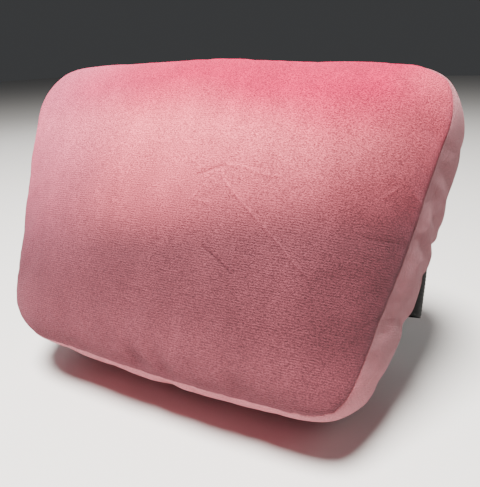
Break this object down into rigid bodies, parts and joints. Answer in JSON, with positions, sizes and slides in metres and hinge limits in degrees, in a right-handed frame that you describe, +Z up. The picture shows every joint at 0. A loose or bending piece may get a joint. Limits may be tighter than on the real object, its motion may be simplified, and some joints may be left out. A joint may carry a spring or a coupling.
{
  "type": "boxed travel cushion",
  "caption": "Plump boxed travel cushion in short-pile plush, wider at the top, with a zip-off cover, a filled insert and a wide elastic seat strap.",
  "frame": {"origin": "on the surface that the cushion stands on, in the middle of its outer box", "axes": "+X across the cushion, from its left to its right as seen from the front; +Y from the front panel to the strap; +Z up from the surface"},
  "size_m": [0.4326, 0.2578, 0.2968],
  "materials": {
    "plush_front": "matte",
    "plush_boxing": "matte",
    "plush_back": "matte",
    "insert_cotton": "matte",
    "fibre": "matte",
    "zipper_tape": "matte",
    "zipper_coil": "satin",
    "zipper_metal": "satin",
    "elastic": "matte",
    "black_thread": "matte",
    "pink_thread": "satin",
    "label_satin": "satin"
  },
  "bodies": {
    "cushion": {"front_panel": "plush_front", "main_boxing": "plush_boxing", "zip_boxing_front": "plush_boxing", "zip_boxing_rear": "plush_boxing", "back_panel": "plush_back", "insert_case_front": "insert_cotton", "insert_case_back": "insert_cotton", "fibre_fill": "fibre", "zipper_tape_front": "zipper_tape", "zipper_tape_rear": "zipper_tape", "zipper_coil_front": "zipper_coil", "zipper_coil_rear": "zipper_coil", "zipper_top_stops": "zipper_metal", "zipper_bottom_stop": "zipper_metal", "elastic_strap": "elastic", "strap_tack_left": "black_thread", "strap_tack_right": "black_thread", "front_seam_thread": "pink_thread", "rear_seam_thread": "pink_thread", "care_label": "label_satin"},
    "slider": {"zipper_slider": "zipper_metal"},
    "pull": {"zipper_pull": "zipper_metal"}
  },
  "joints": [
    {"name": "zipper_slide", "type": "slide", "parent": "cushion", "child": "slider", "axis": [-1, 0, 0], "range_m": [0, 0.262]},
    {"name": "pull_hinge", "type": "hinge", "parent": "slider", "child": "pull", "pos_m": [0.131, 0.07372, 0.27665], "axis": [0, 0.8517, -0.524], "range_deg": [0, 170]}
  ]
}
